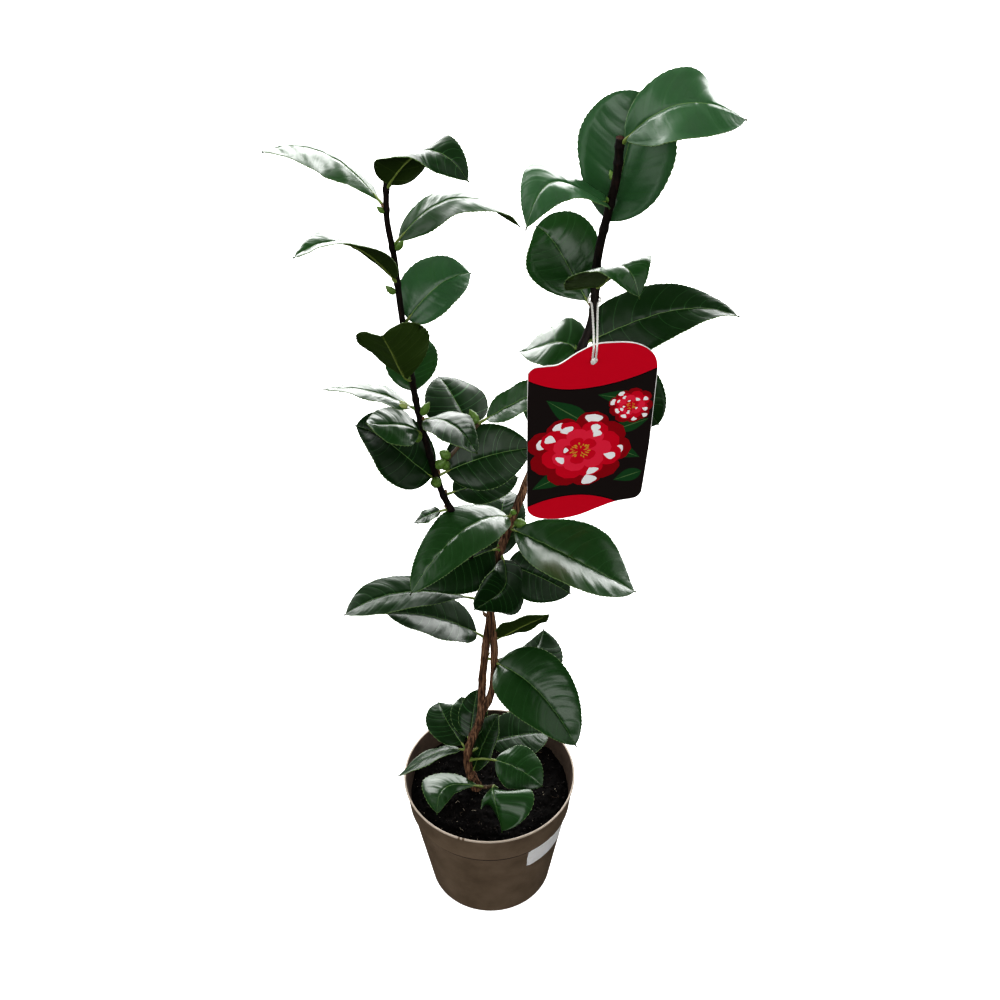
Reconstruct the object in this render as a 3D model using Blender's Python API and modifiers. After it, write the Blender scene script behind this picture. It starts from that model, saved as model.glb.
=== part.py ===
"""Camellia shrub in its nursery pot.

A young camellia with two boughs, standing in a tapered plastic pot with compost,
with a printed picture tag on a loop of string.  The solids are in metres with +Z up.
The origin is the centre of the pot's flat underside, and -Y is the plant's front.
Foliage is built as thin pads: each pad is a leaf's run from its limb to its tip,
and the pads that share a limb are melted into one uneven mass cut round that limb.
"""
import math

import bmesh
import bpy
from mathutils import Matrix, Quaternion, Vector

MM = 0.001
GAP = 0.0003                 # clearance kept between touching pieces

# Pot: a turned shell with a deeper collar under its rim.
RIM_RADIUS = 0.0750
POT_HEIGHT = 0.1280
BASE_RADIUS = 0.0545
WALL = 0.0016
LIP_HEIGHT = 0.0018
COLLAR_HEIGHT = 0.0300
COLLAR_FOOT_RADIUS = 0.0712
COLLAR_STEP = 0.0014
FOOT_ROUND = 0.0022
POT_STEPS = 40

# Compost
SOIL_TOP = 0.1100
SOIL_STEPS = 32

# Limb girths, as radii
FLARE_RADIUS = 0.0056        # where the trunk meets the compost
FLARE_HEIGHT = 0.0300
TRUNK_RADIUS = (0.0038, 0.0032)
LEFT_RADIUS = (0.0031, 0.0019)
RIGHT_RADIUS = (0.0032, 0.0028)
LIMB_STEP = 0.0220           # length of one facet along a limb
LIMB_SIDES = 8

# Courses of the limbs in millimetres, as (x, y, height).
TRUNK_COURSE = [(-12, -1, 110.3), (-12, -1, 112), (-14, 0, 118), (-18, 4, 130), (-19, 7, 145), (-15, 10, 161),
                (-9, 12, 178), (-5.5, 14, 196), (-5.3, 17, 216), (-3.4, 19, 240), (-0.9, 20, 268), (3.5, 18, 306),
                (8, 15, 345)]
LEFT_COURSE = [(-9, 11, 180), (-4.5, 11.5, 195), (0.8, 11, 210), (4.2, 10, 228), (5.5, 10, 252), (5.8, 10, 276),
               (4, 10, 310), (-6, 9, 350), (-20, 6.5, 410), (-32, 4, 447), (-42, 0, 501), (-48, -2, 547),
               (-53, -4, 610), (-55, -5, 648), (-58, -6, 676), (-57, -6, 704)]
RIGHT_COURSE = [(8, 15, 345), (12, 16, 375), (27, 20, 422), (48, 22, 487), (66, 22, 545), (77, 20, 584),
                (79, 18, 631), (84, 16, 665), (89, 15, 694), (90, 14, 721)]

# Foliage pads
PAD_THICKNESS = 0.0100
PAD_STUB = 0.0060            # how far a pad starts inside its limb's hub
HUB_MARGIN = 0.0052          # how much wider than its limb a mass is where it wraps it
HUB_STEP = 0.0050
VOXEL = 0.0026
MASS_FACES = 215

# Each mass: its limb, then one row for each pad:
# (height on the limb, compass angle, reach, rise of the tip, arch of the middle, half width, roll)
# in millimetres and degrees; compass angle 0 is +X and 90 is +Y, and a pad without roll lies level.
MASSES = {
    "left_tip_leaves": ("left", [(685, -176, 74, 43, 14, 22, -10), (698, -25, 57, 16, 25, 20, -15)]),
    "left_upper_leaves": ("left", [(655, -7, 83, 20, 27, 18, -10), (628, -144, 74, 45, 23, 18, 12)]),
    "left_middle_leaves": ("left", [(594, 23, 50, 29, 11, 23, 32)]),
    "left_fork_leaves": ("left", [(554, -122, 34, 49, 2, 26, 10), (546, 92, 42, 14, 3, 19, 0)]),
    "left_shoulder_leaves": ("left", [(522, -172, 65, 26, 7, 17, 14), (512, -33, 48, -9, 11, 22, -12),
                                      (502, -153, 44, 24, 6, 18, -22)]),
    "left_elbow_leaves": ("left", [(470, 80, 46, 46, 5, 27, 0), (474, 8, 84, 50, 0, 13, 10),
                                   (455, -175, 57, 55, 6, 27, -32), (459, 16, 72, 10, 5, 25, 48)]),
    "left_knee_leaves": ("left", [(439, 20, 50, 1, 2, 16, 20), (434, -172, 32, -17, 2, 9, 0)]),
    "centre_upper_leaves": ("right", [(406, -138, 102, -18, 23, 20, -6), (396, -31, 111, -16, 12, 31, 4)]),
    "centre_lower_leaves": ("right", [(377, -156, 64, -18, 6, 26, -30), (374, -126, 42, -31, 2, 25, -30),
                                      (362, 0, 58, -34, 4, 22, 45), (360, 84, 66, 22, 12, 20, 0)]),
    "low_left_leaf": ("left", [(326, -167, 114, 11, 17, 20, -3)]),
    "low_front_left_leaf": ("trunk", [(280, -165, 82, 44, 10, 22, -6)]),
    "low_right_leaf": ("trunk", [(303, -11, 50, 6, 3, 14, -35)]),
    "low_back_leaf": ("trunk", [(258, 6, 62, 6, 2, 24, -8)]),
    "low_front_leaf": ("left", [(238, -40, 88, -25, 25, 31, 16)]),
    "foot_back_leaves": ("trunk", [(170, 124, 46, 0, 8, 19, 0), (166, 84, 38, 19, 4, 14, 0)]),
    "foot_leaves": ("trunk", [(142, -168, 64, -11, 10, 14, 24), (144, 18, 76, 0, 8, 22, 10),
                              (131, -122, 54, -8, 10, 20, 0), (135, -27, 74, 6, 14, 20, 0),
                              (130, -67, 71, -5, 14, 22, 0), (136, 26, 34, 32, 4, 12, 0)]),
    "right_tip_leaves": ("right", [(714, -17, 78, 27, 23, 28, 34)]),
    "right_upper_leaves": ("right", [(674, -152, 64, -2, 21, 23, -18), (655, 45, 34, 83, 6, 34, 8)]),
    "right_middle_leaves": ("right", [(613, 145, 48, 28, 4, 28, -35), (620, -60, 52, 8, 21, 26, -10)]),
    "right_side_leaf": ("right", [(566, -7, 106, 25, 17, 21, 34)]),
    "right_waist_leaves": ("right", [(542, 4, 65, -56, 10, 26, 30), (539, 164, 45, 10, 5, 21, -10)]),
    "right_back_leaves": ("right", [(496, 58, 74, -24, 14, 20, 10), (474, 80, 78, 4, 16, 22, 0)]),
}

# Tag: a wavy card that hangs from the right bough on a loop of string.
TAG_CENTRE = Vector((0.0741, -0.0100, 0.5188))
TAG_YAW = math.radians(6)
TAG_LEAN = math.radians(7)   # the top edge hangs forward
TAG_THICKNESS = 0.0008
TAG_OUTLINE = [(-43.4, 46, 2.6), (-39.2, 52.4, 2.2), (-31, 53.3, 0), (-22.5, 54.2, 0), (-10, 63.4, 0), (2, 69.8, 0),
               (13, 70.6, 0), (26, 69.4, 0), (35, 65.6, 0), (41.5, 59.6, 0), (45.2, 52, 0), (46.6, 40, 4),
               (46.4, -22, 4), (44.3, -76, 2.6), (39.8, -83, 2.6), (25, -85.4, 0), (12.5, -90.5, 0), (-2.3, -97.2, 0),
               (-17.5, -99.8, 0), (-31.2, -97.6, 0), (-38.1, -93, 2.6), (-41.2, -85.5, 2.6)]
STRING_RADIUS = 0.0007
STRING_HEIGHT = 0.5990
TAG_HOLE = (1.4, 57)           # where the string is knotted, on the tag, in millimetres

COLOURS = {
    "pot": ((0.115, 0.078, 0.055), 0.55),
    "compost": ((0.010, 0.008, 0.006), 0.95),
    "bark": ((0.060, 0.028, 0.018), 0.80),
    "leaf": ((0.018, 0.055, 0.020), 0.35),
    "tag": ((0.520, 0.000, 0.018), 0.40),
    "string": ((0.800, 0.800, 0.780), 0.85),
}


def clear_scene():
    for thing in list(bpy.data.objects):
        bpy.data.objects.remove(thing, do_unlink=True)


def make_collection(name):
    group = bpy.data.collections.new(name)
    bpy.context.scene.collection.children.link(group)
    return group


def finish_of(name):
    material = bpy.data.materials.get(name)
    if material is None:
        colour, roughness = COLOURS[name]
        material = bpy.data.materials.new(name)
        material.use_nodes = True
        shader = material.node_tree.nodes["Principled BSDF"]
        shader.inputs["Base Color"].default_value = (*colour, 1.0)
        shader.inputs["Roughness"].default_value = roughness
        shader.inputs["Metallic"].default_value = 0.0
    return material


def add_object(name, mesh, group, finish):
    thing = bpy.data.objects.new(name, mesh)
    group.objects.link(thing)
    mesh.materials.clear()
    mesh.materials.append(finish_of(finish))
    return thing


def evaluated_copy(thing):
    """The thing's mesh with its modifiers worked in."""
    bpy.context.view_layer.update()
    depsgraph = bpy.context.evaluated_depsgraph_get()
    return bpy.data.meshes.new_from_object(thing.evaluated_get(depsgraph))


def apply_modifiers(thing):
    mesh = evaluated_copy(thing)
    thing.modifiers.clear()
    thing.data = mesh
    return thing


def turned(name, profile, steps, group, finish):
    """A profile of (radius, height) pairs, running down its outer side, turned about Z."""
    bm = bmesh.new()
    verts = [bm.verts.new((radius, 0.0, height)) for radius, height in profile]
    for first, second in zip(verts, verts[1:]):
        bm.edges.new((first, second))
    mesh = bpy.data.meshes.new(name)
    bm.to_mesh(mesh)
    bm.free()
    thing = add_object(name, mesh, group, finish)
    screw = thing.modifiers.new("turn", "SCREW")
    screw.axis = "Z"
    screw.angle = math.tau
    screw.steps = steps
    screw.render_steps = steps
    screw.use_merge_vertices = True
    screw.merge_threshold = 0.00005
    return thing


def wall_radius(height):
    """The pot's outer wall under the collar, at a height."""
    ledge = POT_HEIGHT - COLLAR_HEIGHT
    share = (height - FOOT_ROUND) / (ledge - FOOT_ROUND)
    return BASE_RADIUS + share * (COLLAR_FOOT_RADIUS - COLLAR_STEP - BASE_RADIUS)


def inner_radius(height):
    ledge = POT_HEIGHT - COLLAR_HEIGHT
    if height <= ledge:
        return wall_radius(height) - WALL
    share = (height - ledge) / COLLAR_HEIGHT
    foot = wall_radius(ledge) - WALL
    return foot + share * (RIM_RADIUS - WALL - foot)


def make_pot(group):
    ledge = POT_HEIGHT - COLLAR_HEIGHT
    lip = POT_HEIGHT - LIP_HEIGHT
    inside = [(0.0, WALL), (inner_radius(WALL) - FOOT_ROUND, WALL), (inner_radius(2 * WALL), 2 * WALL),
              (inner_radius(ledge), ledge), (inner_radius(POT_HEIGHT), POT_HEIGHT)]
    outside = [(RIM_RADIUS - 0.3 * MM, POT_HEIGHT), (RIM_RADIUS, POT_HEIGHT - 0.4 * MM), (RIM_RADIUS, lip),
               (RIM_RADIUS - 0.7 * MM, lip - 0.4 * MM), (COLLAR_FOOT_RADIUS, ledge + 0.5 * MM),
               (COLLAR_FOOT_RADIUS - 0.4 * MM, ledge), (wall_radius(ledge), ledge),
               (BASE_RADIUS, FOOT_ROUND), (BASE_RADIUS - 0.3 * FOOT_ROUND, 0.3 * FOOT_ROUND),
               (BASE_RADIUS - FOOT_ROUND, 0.0), (0.0, 0.0)]
    pot = turned("pot", inside + outside, POT_STEPS, group, "pot")
    pot.data.shade_smooth()
    return pot


def make_compost(group):
    ledge = POT_HEIGHT - COLLAR_HEIGHT
    floor = WALL + GAP
    clear = GAP + 0.3 * MM
    profile = [(0.0, SOIL_TOP), (inner_radius(SOIL_TOP) - clear - 4 * MM, SOIL_TOP),
               (inner_radius(SOIL_TOP) - clear, SOIL_TOP - 2 * MM), (inner_radius(ledge) - clear, ledge),
               (inner_radius(3 * WALL) - clear, 3 * WALL), (inner_radius(floor) - FOOT_ROUND - clear, floor),
               (0.0, floor)]
    return apply_modifiers(turned("compost", profile, SOIL_STEPS, group, "compost"))


def through(points, step):
    """Points at an even step along a smooth curve through the given points."""
    ends = [points[0] * 2 - points[1]] + points + [points[-1] * 2 - points[-2]]
    out = []
    for i in range(1, len(ends) - 2):
        before, start, end, after = ends[i - 1], ends[i], ends[i + 1], ends[i + 2]
        count = max(1, round((end - start).length / step))
        for k in range(count):
            t = k / count
            out.append(0.5 * ((2 * start) + (end - before) * t
                              + (2 * before - 5 * start + 4 * end - after) * t * t
                              + (3 * start - before - 3 * end + after) * t * t * t))
    out.append(points[-1].copy())
    return out


def in_metres(course):
    return [Vector(point) * MM for point in course]


def limb_girth(points, radii, flare=0.0):
    """The radius at each point: an even taper, with a root flare at the foot."""
    foot = points[0].z
    rise = points[-1].z - foot
    girth = []
    for point in points:
        up = point.z - foot
        radius = radii[0] + (radii[1] - radii[0]) * up / rise
        if flare > radius and up < FLARE_HEIGHT:
            radius += (flare - radii[0]) * (1 - up / FLARE_HEIGHT) ** 2
        girth.append(radius)
    return girth


def tube(name, points, girth, group, finish, sides=LIMB_SIDES):
    """A capped tube along the points, as one closed mesh."""
    curve = bpy.data.curves.new(name, "CURVE")
    curve.dimensions = "3D"
    curve.bevel_depth = 1.0
    curve.bevel_resolution = sides // 2 - 2
    curve.use_fill_caps = True
    curve.twist_mode = "MINIMUM"
    spline = curve.splines.new("POLY")
    spline.points.add(len(points) - 1)
    for slot, point, radius in zip(spline.points, points, girth):
        slot.co = (*point, 1.0)
        slot.radius = radius
    guide = bpy.data.objects.new(name + "_course", curve)
    group.objects.link(guide)
    mesh = evaluated_copy(guide)
    bpy.data.objects.remove(guide, do_unlink=True)
    bm = bmesh.new()
    bm.from_mesh(mesh)
    bmesh.ops.remove_doubles(bm, verts=bm.verts, dist=0.00002)
    bmesh.ops.recalc_face_normals(bm, faces=bm.faces)
    bm.to_mesh(mesh)
    bm.free()
    thing = add_object(name, mesh, group, finish)
    return thing


def hide_as_cutter(thing):
    thing.hide_render = True
    thing.display_type = "WIRE"


def cut(thing, cutter):
    boolean = thing.modifiers.new("cut_" + cutter.name, "BOOLEAN")
    boolean.operation = "DIFFERENCE"
    boolean.solver = "EXACT"
    boolean.object = cutter


LIMBS = {
    "trunk": (TRUNK_COURSE, TRUNK_RADIUS, FLARE_RADIUS),
    "left": (LEFT_COURSE, LEFT_RADIUS, 0.0),
    "right": (RIGHT_COURSE, RIGHT_RADIUS, 0.0),
}


def limb_points(limb):
    return through(in_metres(LIMBS[limb][0]), LIMB_STEP)


def limb_at(limb, height):
    """The limb's axis and radius at a height."""
    points = limb_points(limb)
    girth = limb_girth(points, LIMBS[limb][1], LIMBS[limb][2])
    for k in range(len(points) - 1):
        low, high = points[k], points[k + 1]
        if low.z <= height <= high.z:
            share = (height - low.z) / (high.z - low.z)
            return low.lerp(high, share), girth[k] + share * (girth[k + 1] - girth[k])
    return points[-1].copy(), girth[-1]


def make_limbs(parts, cutters):
    """Trunk and boughs, and for each a slightly thicker cutter."""
    swell = 1.4 * GAP
    for limb, node in (("trunk", "trunk"), ("left", "left_bough"), ("right", "right_bough")):
        course, radii, flare = LIMBS[limb]
        points = limb_points(limb)
        girth = limb_girth(points, radii, flare)
        if limb == "right":
            along = (points[1] - points[0]).normalized()
            points[0] = points[0] + along * (1.5 * GAP)
        tube(node, points, girth, parts, "bark")
        longer = list(points)
        ahead = (points[-1] - points[-2]).normalized()
        if limb != "trunk":
            longer[-1] = points[-1] + ahead * swell
        cutter = tube(limb + "_cutter", longer, [r + swell for r in girth], cutters, "bark")
        hide_as_cutter(cutter)
    left = bpy.data.objects["left_bough"]
    cut(left, bpy.data.objects["trunk_cutter"])
    apply_modifiers(left)
    keep_largest(left.data)


def keep_largest(mesh):
    """Leaves only the biggest of a mesh's separate bodies."""
    bm = bmesh.new()
    bm.from_mesh(mesh)
    left = set(bm.verts)
    bodies = []
    while left:
        stack = [left.pop()]
        body = set(stack)
        while stack:
            vert = stack.pop()
            for edge in vert.link_edges:
                other = edge.other_vert(vert)
                if other in left:
                    left.remove(other)
                    body.add(other)
                    stack.append(other)
        bodies.append(body)
    bodies.sort(key=len, reverse=True)
    for body in bodies[1:]:
        bmesh.ops.delete(bm, geom=list(body), context="VERTS")
    bm.to_mesh(mesh)
    bm.free()


def pad(bm, start, compass, reach, rise, arch, half_width, roll):
    """One leaf's pad: a ball drawn out along an arched line from its limb to its tip."""
    heading = Vector((math.cos(compass), math.sin(compass), 0.0))
    middle = start + heading * (0.5 * reach) + Vector((0, 0, 0.5 * rise + 2 * arch))
    end = start + heading * reach + Vector((0, 0, rise))
    begin = start - heading * PAD_STUB
    ball = bmesh.ops.create_icosphere(bm, subdivisions=3, radius=1.0)
    for vert in ball["verts"]:
        along = 0.5 * (vert.co.x + 1.0)
        centre = begin * (1 - along) ** 2 + middle * (2 * along * (1 - along)) + end * along ** 2
        tangent = ((middle - begin) * (1 - along) + (end - middle) * along).normalized()
        side = tangent.cross(Vector((0, 0, 1)))
        side = side.normalized() if side.length > 0.05 else Vector((-heading.y, heading.x, 0.0))
        side.rotate(Quaternion(tangent, roll))
        up = side.cross(tangent)
        vert.co = centre + side * (vert.co.y * half_width) + up * (vert.co.z * 0.5 * PAD_THICKNESS)


def make_mass(name, limb, rows, parts):
    """Pads and their hubs on the limb, melted into one solid."""
    bm = bmesh.new()
    heights = []
    for height, compass, reach, rise, arch, half_width, roll in rows:
        start, radius = limb_at(limb, height * MM)
        heights.append(height * MM)
        pad(bm, start, math.radians(compass), reach * MM, rise * MM, arch * MM, half_width * MM,
            math.radians(roll))
    low, high = min(heights), max(heights)
    count = math.ceil((high - low) / HUB_STEP)
    for k in range(count + 1):
        centre, radius = limb_at(limb, low + (high - low) * k / max(1, count))
        place = Matrix.Translation(centre)
        bmesh.ops.create_icosphere(bm, subdivisions=2, radius=radius + HUB_MARGIN, matrix=place)
    mesh = bpy.data.meshes.new(name)
    bm.to_mesh(mesh)
    bm.free()
    thing = add_object(name, mesh, parts, "leaf")
    melt = thing.modifiers.new("melt", "REMESH")
    melt.mode = "VOXEL"
    melt.voxel_size = VOXEL
    apply_modifiers(thing)
    thin = thing.modifiers.new("thin", "DECIMATE")
    faces = len(thing.data.polygons) * 2
    thin.ratio = MASS_FACES * (0.55 + 0.25 * len(rows)) / faces
    thin.use_collapse_triangulate = True
    apply_modifiers(thing)
    return thing


def make_masses(parts):
    for name, (limb, rows) in MASSES.items():
        thing = make_mass(name, limb, rows, parts)
        for each in ("trunk", "left", "right"):
            cut(thing, bpy.data.objects[each + "_cutter"])
        apply_modifiers(thing)
        keep_largest(thing.data)


def tag_place():
    """The tag's own frame: X along its width, Y up its face, Z out of its front."""
    across = Vector((math.cos(TAG_YAW), math.sin(TAG_YAW), 0.0))
    front = Vector((math.sin(TAG_YAW), -math.cos(TAG_YAW), 0.0))
    up = Vector((0, 0, 1)) * math.cos(TAG_LEAN) + front * math.sin(TAG_LEAN)
    facing = across.cross(up)
    turn = Matrix((across, up, facing)).transposed().to_4x4()
    return Matrix.Translation(TAG_CENTRE) @ turn


def make_tag(parts):
    curve = bpy.data.curves.new("tag", "CURVE")
    curve.dimensions = "2D"
    curve.fill_mode = "BOTH"
    curve.extrude = 0.5 * TAG_THICKNESS
    curve.resolution_u = 1
    spline = curve.splines.new("BEZIER")
    spline.bezier_points.add(len(TAG_OUTLINE) - 1)
    count = len(TAG_OUTLINE)
    for k, (x, y, corner) in enumerate(TAG_OUTLINE):
        point = spline.bezier_points[k]
        here = Vector((x, y, 0)) * MM
        before = Vector((*TAG_OUTLINE[k - 1][:2], 0)) * MM
        after = Vector((*TAG_OUTLINE[(k + 1) % count][:2], 0)) * MM
        along = (after - before).normalized()
        reach_back = (here - before).length / 3 if not corner else corner * MM
        reach_on = (after - here).length / 3 if not corner else corner * MM
        point.co = here
        point.handle_left_type = "FREE"
        point.handle_right_type = "FREE"
        point.handle_left = here - along * reach_back
        point.handle_right = here + along * reach_on
    spline.use_cyclic_u = True
    guide = bpy.data.objects.new("tag_outline", curve)
    parts.objects.link(guide)
    mesh = evaluated_copy(guide)
    bpy.data.objects.remove(guide, do_unlink=True)
    bm = bmesh.new()
    bm.from_mesh(mesh)
    bmesh.ops.remove_doubles(bm, verts=bm.verts, dist=0.00002)
    bmesh.ops.recalc_face_normals(bm, faces=bm.faces)
    bmesh.ops.transform(bm, matrix=tag_place(), verts=bm.verts)
    bm.to_mesh(mesh)
    bm.free()
    return add_object("tag", mesh, parts, "tag")


def make_string(parts):
    """A loop behind the right bough whose two strands run down to the tag's hole."""
    axis, radius = limb_at("right", STRING_HEIGHT)
    place = tag_place()
    hole = place @ (Vector((TAG_HOLE[0], TAG_HOLE[1], 0)) * MM + Vector((0, 0, TAG_THICKNESS + STRING_RADIUS + GAP)))
    loop = radius + STRING_RADIUS + 2 * GAP
    spread = Vector((1.1 * MM, 0, 0))
    over = place.to_3x3() @ Vector((0, 17, 1.0)) * MM
    ring = []
    for k in range(9):
        angle = math.radians(-60 + 300 * k / 8)
        lift = 1.5 * MM * math.sin(angle)
        ring.append(axis + Vector((loop * math.cos(angle), loop * math.sin(angle), lift)))
    route = [hole + spread, hole + spread + over] + ring
    route += [hole - spread + over, hole - spread]
    points = through(route, 6 * MM)
    return tube("tag_string", points, [STRING_RADIUS] * len(points), parts, "string", sides=6)


def main():
    clear_scene()
    parts = make_collection("camellia_shrub")
    cutters = make_collection("cutters")
    make_pot(parts)
    make_compost(parts)
    make_limbs(parts, cutters)
    make_tag(parts)
    make_string(parts)
    make_masses(parts)


main()
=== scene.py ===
import math
import random

import bmesh
import bpy
from mathutils import Matrix, Quaternion, Vector, noise


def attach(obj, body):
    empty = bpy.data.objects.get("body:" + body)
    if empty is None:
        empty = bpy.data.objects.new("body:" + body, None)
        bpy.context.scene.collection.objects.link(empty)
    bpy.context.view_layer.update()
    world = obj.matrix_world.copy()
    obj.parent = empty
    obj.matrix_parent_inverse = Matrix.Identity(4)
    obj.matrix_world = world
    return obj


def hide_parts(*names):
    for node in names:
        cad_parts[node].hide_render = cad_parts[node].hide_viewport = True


# A young camellia in its nursery pot, with a picture tag on a loop of string.
# Lengths in the tables are millimetres and angles are degrees; everything built is in metres.
MM = 0.001
UP = Vector((0, 0, 1))
SEED = 41

# Limbs, as (x, y, height), with the radius at foot and tip.  Many points of the courses, and the
# tag's outline further down, were turned into millimetres by a program outside this file.
TRUNK_COURSE = [
    (-12, -1, 110.3), (-12, -1, 112), (-14, 0, 118), (-18, 4, 130), (-19, 7, 145), (-15, 10, 161),
    (-9, 12, 178), (-5.5, 14, 196), (-5.3, 17, 216), (-3.4, 19, 240), (-0.9, 20, 268), (3.5, 18, 306),
    (8, 15, 345)]
LEFT_COURSE = [
    (-9, 11, 180), (-4.5, 11.5, 195), (0.8, 11, 210), (4.2, 10, 228), (5.5, 10, 252), (5.8, 10, 276),
    (4, 10, 310), (-6, 9, 350), (-20, 6.5, 410), (-32, 4, 447), (-42, 0, 501), (-48, -2, 547),
    (-53, -4, 610), (-55, -5, 648), (-58, -6, 676), (-57, -6, 704)]
RIGHT_COURSE = [
    (8, 15, 345), (12, 16, 375), (27, 20, 422), (48, 22, 487), (66, 22, 545), (77, 20, 584),
    (79, 18, 631), (84, 16, 665), (89, 15, 694), (90, 14, 721)]
TWIG_COURSE = [
    (-36, 3, 463), (-25, 8, 473), (-13, 13, 486), (-2, 16, 499)]
SUCKER_COURSE = [
    (-12, -3, 114), (-9, -10, 121), (-3, -16, 128), (4, -20, 134)]
LIMBS = {
    "trunk": (TRUNK_COURSE, 3.6, 3.0), "left": (LEFT_COURSE, 3.0, 1.9), "right": (RIGHT_COURSE, 3.2, 2.8),
    "twig": (TWIG_COURSE, 1.6, 1.2), "sucker": (SUCKER_COURSE, 1.8, 1.4)}

# Leaf build
STALK = 8.0                  # stalk from the limb's middle to the blade
TOOTH = 2.9                  # spacing of the teeth on a leaf's edge
TOOTH_ROWS = 4               # rows of faces to a tooth
TOOTH_DEPTH = 0.65
TOOTHLESS_FOOT = 0.10        # share of the blade, from its foot, whose edge is smooth
VEINS = 8                    # side veins on each half of a blade
VEIN_WIDTH = 0.30
VEIN_SHEAR = 0.17            # how far a side vein runs on towards the tip
VEIN_START = 0.05            # share of the blade at which the first vein leaves the midrib
VEIN_SPAN = 0.88
VEIN_SHIFTS = (-3, -2, 0, 1, 3)     # rows by which a vein strays from an even spacing
EDGE_WIDTH = 0.26
RIB_WIDTH = 0.34             # half width of the midrib's channel at the blade's foot
INNER_LINES = (0.14, 0.30, 0.46, 0.62, 0.78, 0.90)    # lines of points from the midrib to the edge
LEAF_THICKNESS = 0.6
TAPER = 0.72                 # how bluntly a blade narrows to its tip
BODY_END = 0.985             # where the blade's body gives way to its drawn-out tip
TIP_START = 0.86
TIP_SLOPE = 0.9
DARKER_SHARE = 0.35          # share of the leaves that are a tone darker than their row says


def leaf(height, compass, reach, rise, arch, width, roll=0, twist=0, fold=(14, 14), sag=0.18,
         bow=0, hook=0, belly=0.44, stalk=STALK, tone=1, halves=(1, 1), limb=None):
    """One leaf's row.  It leaves its limb at a height, towards a compass angle (0 is +X, 90 is +Y).
    reach and rise take it to its tip, arch lifts its middle and hook its first half, bow swings it
    sideways.  roll turns its face about its run, twist turns it further at the tip, and fold raises
    the two halves (left, right, then the same at the tip) from the midrib, and their outer parts
    sag again.  halves narrows them.
    belly is where the blade is widest, tone 0 to 2 goes from deep green, which on leaves inside the crown and
    low down is painted shade, to fresh green with a painted grey blue sheen, and limb names the twig that
    carries the leaf when it isn't its mass's own limb."""
    return dict(height=height, compass=compass, reach=reach, rise=rise, arch=arch, width=width, roll=roll,
                twist=twist, fold=fold[:2], tip_fold=fold[-2:], sag=sag,
                bow=bow, hook=hook, belly=belly, stalk=stalk, tone=tone, halves=halves, limb=limb)
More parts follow.
